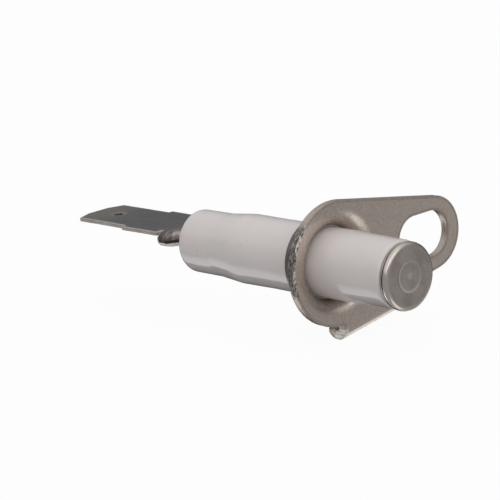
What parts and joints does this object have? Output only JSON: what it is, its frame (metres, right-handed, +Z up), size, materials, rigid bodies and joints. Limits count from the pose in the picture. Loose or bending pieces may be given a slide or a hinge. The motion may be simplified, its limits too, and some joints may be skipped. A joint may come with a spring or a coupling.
{
  "type": "ignition electrode",
  "caption": "Spark electrode: ceramic insulator with a metal disc tip, a slotted plate with a drawn collar and a curled edge, and a blade terminal.",
  "frame": {"origin": "where the insulator's axis meets the mounting plate's back face, which seats on the burner bracket", "axes": "Y is the insulator's axis, with the spark disc at -Y and the blade terminal at +Y; +X points from the insulator to the screw slot; +Z is up"},
  "size_m": [0.0236, 0.0452, 0.0142],
  "materials": {
    "ceramic": "glazed, satin",
    "plate_steel": "stamped stainless, fine matt grain",
    "disc_steel": "turned",
    "rod_steel": "drawn wire, spun end",
    "blade_steel": "heat-darkened",
    "cement": "matt, cast"
  },
  "bodies": {
    "root": {"ceramic_insulator": "ceramic", "mounting_plate": "plate_steel", "collar_cement": "cement", "electrode_disc": "disc_steel", "tip_washer": "disc_steel", "electrode_rod": "rod_steel", "spade_terminal": "blade_steel", "terminal_cement": "cement"}
  },
  "joints": []
}
